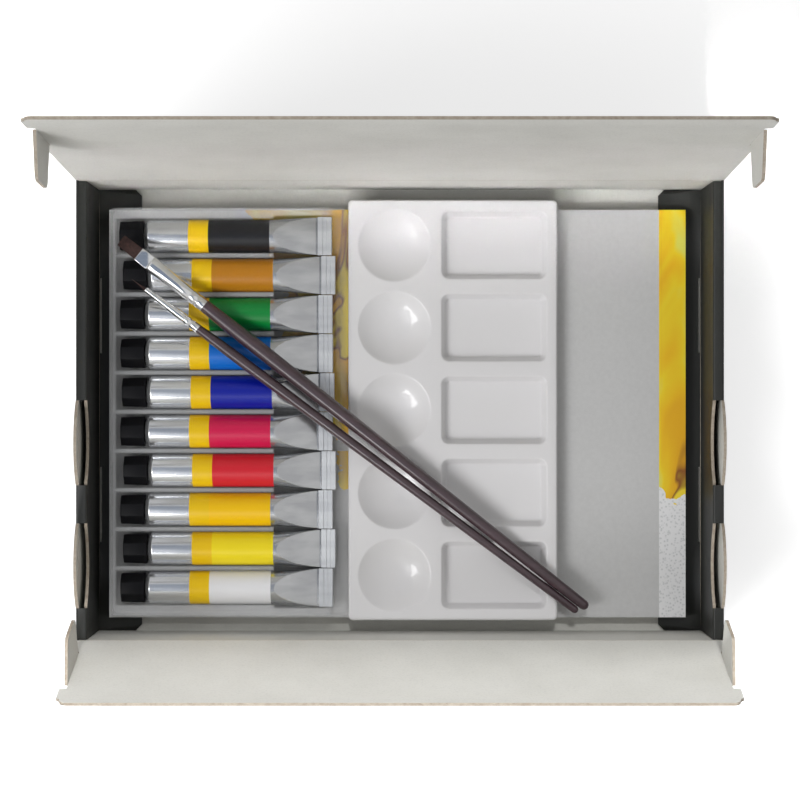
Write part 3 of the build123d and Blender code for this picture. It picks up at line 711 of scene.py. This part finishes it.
def tube_moulding():
    """One tube along X: neck, shoulder, round body, a tail pressed flat between two planes, and the crimp."""
    rings = [(6.0, 7.9, 7.9), (11.6, 7.9, 7.9), (12.1, 9.4, 9.4), (12.3, 11.6, 11.6), (14.1, 16.1, 16.1),
             (14.45, 16.75, 16.75), (15.0, 16.95, 16.95), (40.0, 16.98, 16.98), (TAIL_START, 16.98, 16.98),
             (TAIL_END, 19.3, 19.3)]
    tube = drawn_form("tube_blank", rings, 72)
    for side in (1, -1):
        bpy.ops.object.mode_set(mode="EDIT")
        bpy.ops.mesh.select_all(action="SELECT")
        tilt = Vector((TAIL_DROP, 0, side * (TAIL_END - TAIL_START))).normalized()
        bpy.ops.mesh.bisect(plane_co=(TAIL_START * MM, 0, side * TAIL_HALF_HEIGHT * MM), plane_no=tilt,
                            use_fill=True, clear_outer=True)
        bpy.ops.object.mode_set(mode="OBJECT")
    fold = tube.modifiers.new("fold", "BEVEL")
    fold.width = TAIL_FOLD_RADIUS * MM
    fold.segments = 3
    fold.angle_limit = radians(12)
    apply_modifier(tube, fold)
    clear_picks("FACE")
    for face in tube.data.polygons:
        face.select = face.normal.x > 0.95 and face.center.x > (TAIL_END - 0.3) * MM
    bpy.ops.object.mode_set(mode="EDIT")
    x = TAIL_END
    for new_x, wider, thicker in ((100.7, 1.05, 2.6), (103.2, 1.0, 1.0), (103.5, 1.0, 0.8), (105.3, 1.0, 1.0),
                                  (105.6, 1.0, 1.25), (107.7, 1.0, 1.0), (108.0, 0.99, 0.8)):
        bpy.ops.mesh.extrude_region_move(TRANSFORM_OT_translate={"value": ((new_x - x) * MM, 0, 0)})
        bpy.ops.transform.resize(value=(1, wider, thicker), center_override=(new_x * MM, 0, 0))
        x = new_x
    face_outwards()
    return tube


def cap_moulding():
    """One octagonal cap along X, a little narrower and dished at its end, its edges softened."""
    bpy.ops.mesh.primitive_cylinder_add(vertices=8, radius=0.5 * CAP_WIDTH / cos(pi / 8) * MM,
                                        depth=CAP_LENGTH * MM, location=(CAP_LENGTH / 2 * MM, 0, 0),
                                        rotation=(0, pi / 2, 0))
    cap = bpy.context.active_object
    bpy.ops.object.transform_apply(location=True, rotation=True, scale=True)
    cap.data.transform(Matrix.Rotation(pi / 8, 4, "X"))
    bpy.ops.object.mode_set(mode="EDIT")
    bpy.ops.mesh.select_all(action="DESELECT")
    bpy.ops.object.mode_set(mode="OBJECT")
    for face in cap.data.polygons:
        face.select = face.normal.x < -0.9
    bpy.ops.object.mode_set(mode="EDIT")
    narrowing = CAP_END_WIDTH / CAP_WIDTH
    bpy.ops.transform.resize(value=(1, narrowing, narrowing), center_override=(0, 0, 0))
    bpy.ops.mesh.inset(thickness=1.6 * MM)
    bpy.ops.mesh.extrude_region_move(TRANSFORM_OT_translate={"value": (0.35 * MM, 0, 0)})
    bpy.ops.transform.resize(value=(1, 0.93, 0.93), center_override=(0, 0, 0))
    bpy.ops.object.mode_set(mode="OBJECT")
    soften = cap.modifiers.new("soften", "BEVEL")
    soften.width = 0.5 * MM
    soften.segments = 3
    soften.angle_limit = radians(28)
    apply_modifier(cap, soften)
    return cap


tube_blank = tube_moulding()
cap_blank = cap_moulding()
for number, (paint, colour) in enumerate(PAINTS.items()):
    tag = f"{number + 1:02d}"
    cap_low, cap_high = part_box(f"cap_{tag}")
    tube_low, tube_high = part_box(f"tube_{tag}")
    start, length = cap_low.x, tube_high.x - cap_low.x
    place = Matrix.Translation((start, (cap_low.y + cap_high.y) / 2, (tube_low.z + tube_high.z) / 2))
    tube = moved_copy(tube_blank, f"tube_{tag}_body", place)
    tube.data.materials.append(tube_print(f"tube_print_{paint}", colour, start, length))
    settle(tube, f"tube_{tag}", "tube_metal", f"tube_{tag}", f"paint_{tag}")
    cap = moved_copy(cap_blank, f"tube_{tag}_cap", place)
    cap.data.materials.append(finishes["cap"])
    settle(cap, f"cap_{tag}", "cap_plastic", f"cap_{tag}")
for blank in (tube_blank, cap_blank):
    bpy.data.objects.remove(blank)


# Brushes

def brush_place(brush):
    """Where a brush lies: on the first tube's top and on the palette's right-hand edge."""
    palette_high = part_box("mixing_palette")[1] / MM
    tip = brush["tip"]
    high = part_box("tube_01")[1].z / MM + brush["belly"] + REST_GAP
    low = palette_high.z + brush["end"] + REST_GAP
    rest = (palette_high.x - tip[0]) / cos(radians(brush["heading"]))
    slope = (high - low) / (rest - brush["support"])
    lift = high + slope * brush["support"]
    return (Matrix.Translation((tip[0] * MM, tip[1] * MM, lift * MM))
            @ Matrix.Rotation(radians(brush["heading"]), 4, "Z") @ Matrix.Rotation(atan2(slope, 1), 4, "Y"))


def tuft(name, place, roots, tips, thickness):
    """Fine tapered hairs from their roots to their tips, joined into one piece."""
    bpy.ops.mesh.primitive_cone_add(vertices=5, radius1=0.5, radius2=0.12, depth=1.0, location=(0, 0, 0.5))
    hair = bpy.context.active_object
    bpy.ops.object.transform_apply(location=True, rotation=True, scale=True)
    strands = []
    for root, tip in zip(roots, tips):
        line = tip - root
        turn = line.to_track_quat("Z", "Y").to_matrix().to_4x4()
        size = Matrix.Diagonal((thickness, thickness, line.length, 1))
        strand = moved_copy(hair, name, place @ Matrix.Translation(root) @ turn @ size)
        strands.append(strand)
    bpy.ops.object.select_all(action="DESELECT")
    for strand in strands:
        strand.select_set(True)
    bpy.context.view_layer.objects.active = strands[0]
    bpy.ops.object.join()
    bpy.data.objects.remove(hair)
    piece = bpy.context.active_object
    piece.name = name
    return piece


def with_blade(ferrule):
    """The flat plate that clasps the hair of the flat brush, joined to the front of its ferrule."""
    bpy.ops.mesh.primitive_cube_add(size=1, location=(15.2 * MM, 0, 0))
    blade = bpy.context.active_object
    blade.scale = (7.6 * MM, 7.3 * MM, 2.5 * MM)
    bpy.ops.object.transform_apply(location=True, rotation=True, scale=True)
    for corner in blade.data.vertices:
        if corner.co.x > 15 * MM:
            corner.co.y *= 7.6 / 7.3
    rounding = blade.modifiers.new("rounding", "BEVEL")
    rounding.width = 0.45 * MM
    rounding.segments = 4
    apply_modifier(blade, rounding)
    ferrule.select_set(True)
    bpy.context.view_layer.objects.active = ferrule
    bpy.ops.object.join()
    return ferrule


flat_place = brush_place(FLAT_BRUSH)
round_place = brush_place(ROUND_BRUSH)

# Rings of (place, width, depth) in millimetres from the hair's tip: double grooves clasp each handle
flat_ferrule_rings = [(18.6, 7.2, 2.3), (19.4, 7.9, 3.7), (20.2, 7.95, 4.0), (24.0, 7.75, 4.5),
                      (31.0, 7.2, 5.8), (37.4, 6.8, 6.8), (44.2, 6.8, 6.8), (44.6, 6.3, 6.3),
                      (45.2, 6.2, 6.2), (45.8, 6.8, 6.8), (47.8, 6.8, 6.8), (48.2, 6.3, 6.3),
                      (48.9, 6.2, 6.2), (49.4, 6.8, 6.8), (53.3, 6.8, 6.8), (53.5, 6.7, 6.7)]
flat_handle_rings = [(50.0, 6.0, 6.0), (53.4, 6.6, 6.6), (58.0, 6.8, 6.8), (66.0, 7.3, 7.3),
                     (79.0, 7.75, 7.75), (92.0, 7.7, 7.7), (125.0, 7.3, 7.3), (165.0, 6.85, 6.85),
                     (230.0, 6.0, 6.0), (299.3, 5.2, 5.2), (300.6, 4.6, 4.6), (301.5, 3.0, 3.0),
                     (301.9, 1.0, 1.0)]
round_ferrule_rings = [(8.9, 2.3, 2.3), (9.0, 2.5, 2.5), (20.0, 3.4, 3.4), (29.4, 4.6, 4.6),
                       (33.0, 4.6, 4.6), (33.3, 4.1, 4.1), (33.9, 4.0, 4.0), (34.4, 4.6, 4.6),
                       (36.4, 4.6, 4.6), (36.8, 4.1, 4.1), (37.4, 4.0, 4.0), (37.9, 4.6, 4.6),
                       (41.8, 4.6, 4.6), (42.0, 4.5, 4.5)]
round_handle_rings = [(39.0, 4.0, 4.0), (41.9, 4.4, 4.4), (46.0, 4.7, 4.7), (55.0, 5.3, 5.3),
                      (68.0, 5.75, 5.75), (80.0, 5.7, 5.7), (110.0, 5.4, 5.4), (150.0, 5.05, 5.05),
                      (215.0, 4.5, 4.5), (281.0, 4.0, 4.0), (282.0, 3.4, 3.4), (282.7, 2.2, 2.2),
                      (282.95, 0.8, 0.8)]
for brush, place, ferrule_rings, handle_rings in (
        ("flat_brush", flat_place, flat_ferrule_rings, flat_handle_rings),
        ("round_brush", round_place, round_ferrule_rings, round_handle_rings)):
    ferrule = drawn_form(f"{brush}_ferrule_tube", ferrule_rings, 40)
    if brush == "flat_brush":
        ferrule = with_blade(ferrule)
    set_in_place(ferrule, place)
    ferrule.data.materials.append(finishes["ferrule"])
    settle(ferrule, brush, "ferrule_metal", f"{brush}_ferrule")
    handle = drawn_form(f"{brush}_handle_turning", handle_rings, 40)
    set_in_place(handle, place)
    handle.data.materials.append(finishes["lacquer"])
    settle(handle, brush, "handle_lacquer", f"{brush}_handle")

# The flat brush's hairs stand in an ellipse of columns and rows, the round one's in rings
roots, tips = [], []
for column in range(FLAT_COLUMNS):
    for row in range(FLAT_ROWS):
        a, b = (column + 0.5) / (FLAT_COLUMNS / 2) - 1, (row + 0.5) / (FLAT_ROWS / 2) - 1
        if a * a + b * b > 1:
            continue
        wander = Vector((0, random.uniform(-0.06, 0.06), random.uniform(-0.04, 0.04))) * MM
        roots.append(Vector((11.9 * MM, a * 3.35 * MM, b * 1.0 * MM)))
        tips.append(Vector((random.uniform(0.05, 0.5) * MM, a * 3.2 * MM, b * 0.42 * MM)) + wander)
flat_hair = tuft("flat_brush_tuft", flat_place, roots, tips, 0.24 * MM)
roots, tips = [], []
for ring in range(ROUND_RINGS + 1):
    count = max(1, 6 * ring)
    for step in range(count):
        turn = 2 * pi * step / count + 0.3 * ring
        reach = 0.14 * ring
        taper = 0.12 * (1 + 0.5 * ring / ROUND_RINGS)
        roots.append(Vector((9.4 * MM, reach * cos(turn) * MM, reach * sin(turn) * MM)))
        tips.append(Vector(((0.05 + 0.11 * ring * ring) * MM, taper * reach * cos(turn) * MM,
                            taper * reach * sin(turn) * MM)))
round_hair = tuft("round_brush_tuft", round_place, roots, tips, 0.17 * MM)
for piece, brush in ((flat_hair, "flat_brush"), (round_hair, "round_brush")):
    piece.data.materials.append(finishes["hair"])
    settle(piece, brush, "bristle", f"{brush}_hair")


# Floor, light and camera

FLOOR_WHITE, FLOOR_GLOW = 0.85, 0.62
SKY_LIGHT, SKY_SEEN, SKY_MIRRORED = 0.36, 0.64, 0.30
CARD_HEIGHT = 0.9

bpy.ops.mesh.primitive_plane_add(size=6, location=(0, 0, -0.0004))
floor = bpy.context.active_object
floor.name = "floor"
ground, tree, shader = new_finish("floor_white")
output = tree.nodes["Material Output"]
shader.inputs["Base Color"].default_value = (FLOOR_WHITE, FLOOR_WHITE, FLOOR_WHITE, 1)
shader.inputs["Roughness"].default_value = 1.0
rays = add_node(tree, "ShaderNodeLightPath")
seen = maths(tree, "MAXIMUM", rays.outputs["Is Camera Ray"],
             maths(tree, "MAXIMUM", rays.outputs["Is Glossy Ray"], rays.outputs["Is Transmission Ray"]))
lifted = maths(tree, "MULTIPLY", seen, FLOOR_GLOW)
glow = add_node(tree, "ShaderNodeEmission", {"Color": (1, 1, 1, 1), "Strength": lifted})
both = add_node(tree, "ShaderNodeAddShader", {0: shader.outputs["BSDF"], 1: glow.outputs["Emission"]})
tree.links.new(both.outputs["Shader"], output.inputs["Surface"])
floor.data.materials.append(ground)

world = bpy.context.scene.world or bpy.data.worlds.new("studio")
bpy.context.scene.world = world
world.use_nodes = True
tree = world.node_tree
sky = tree.nodes["Background"]
sky.inputs["Color"].default_value = (1, 1, 1, 1)
rays = add_node(tree, "ShaderNodeLightPath")
seen = maths(tree, "MAXIMUM", rays.outputs["Is Camera Ray"], rays.outputs["Is Transmission Ray"])
mirrored = maths(tree, "MULTIPLY", rays.outputs["Is Glossy Ray"], SKY_MIRRORED)
bright = maths(tree, "ADD", maths(tree, "MULTIPLY", seen, SKY_SEEN), maths(tree, "ADD", mirrored, SKY_LIGHT))
tree.links.new(bright, sky.inputs["Strength"])


def softbox(name, place, target, size, power, beam=180.0, mirrored=True):
    """An area light turned to a target; a fill that isn't mirrored leaves no highlight in gloss."""
    lamp = bpy.data.lights.new(name, "AREA")
    lamp.shape = "RECTANGLE"
    lamp.size, lamp.size_y = size
    lamp.energy = power
    lamp.spread = radians(beam)
    stand = bpy.data.objects.new(name, lamp)
    bpy.context.scene.collection.objects.link(stand)
    stand.location = place
    stand.rotation_euler = (Vector(target) - Vector(place)).to_track_quat("-Z", "Y").to_euler()
    stand.visible_glossy = mirrored


softbox("key_left", (-0.86, -0.64, 1.42), (0, 0, 0), (1.1, 0.6), 17.5)
softbox("fill_front", (0.0, -1.7, 0.75), (0, 0.1, 0), (1.4, 0.6), 1.0, mirrored=False)
softbox("strip_front_flap", (0.0, 0.32, 1.05), (0, -0.147, 0.075), (0.6, 0.06), 0.17, 8.0, mirrored=False)
softbox("strip_back_wall", (0.0, -0.42, 1.15), (0, 0.126, 0.03), (0.6, 0.06), 0.08, 5.0, mirrored=False)


def reflector_card(name, corner_low, corner_high, shade):
    """A flat studio card that only reflections see, so that metal has something dark to show."""
    centre = (Vector(corner_low) + Vector(corner_high)) / 2
    bpy.ops.mesh.primitive_plane_add(size=1, location=centre)
    card = bpy.context.active_object
    card.name = name
    card.scale = (corner_high[0] - corner_low[0], corner_high[1] - corner_low[1], 1)
    bpy.ops.object.transform_apply(location=True, rotation=True, scale=True)
    tint, tree, _ = new_finish(name)
    glow = add_node(tree, "ShaderNodeEmission", {"Color": (*shade, 1), "Strength": 1.0})
    tree.links.new(glow.outputs["Emission"], tree.nodes["Material Output"].inputs["Surface"])
    card.data.materials.append(tint)
    card.visible_camera = card.visible_diffuse = card.visible_shadow = card.visible_transmission = False


reflector_card("card_blue_grey", (-0.60, -0.60, CARD_HEIGHT), (-0.05, 0.36, CARD_HEIGHT), (0.22, 0.26, 0.33))
reflector_card("card_black", (-0.60, 0.58, CARD_HEIGHT), (0.0, 0.74, CARD_HEIGHT), (0.03, 0.03, 0.03))

camera = bpy.data.objects.new("camera", bpy.data.cameras.new("camera"))
bpy.context.scene.collection.objects.link(camera)
camera.data.lens = 106.8
camera.data.sensor_width = 36
camera.data.clip_end = 20
camera.location = (0, 0.0052, 1.2345)
bpy.context.scene.camera = camera
bpy.context.scene.view_settings.view_transform = "Standard"
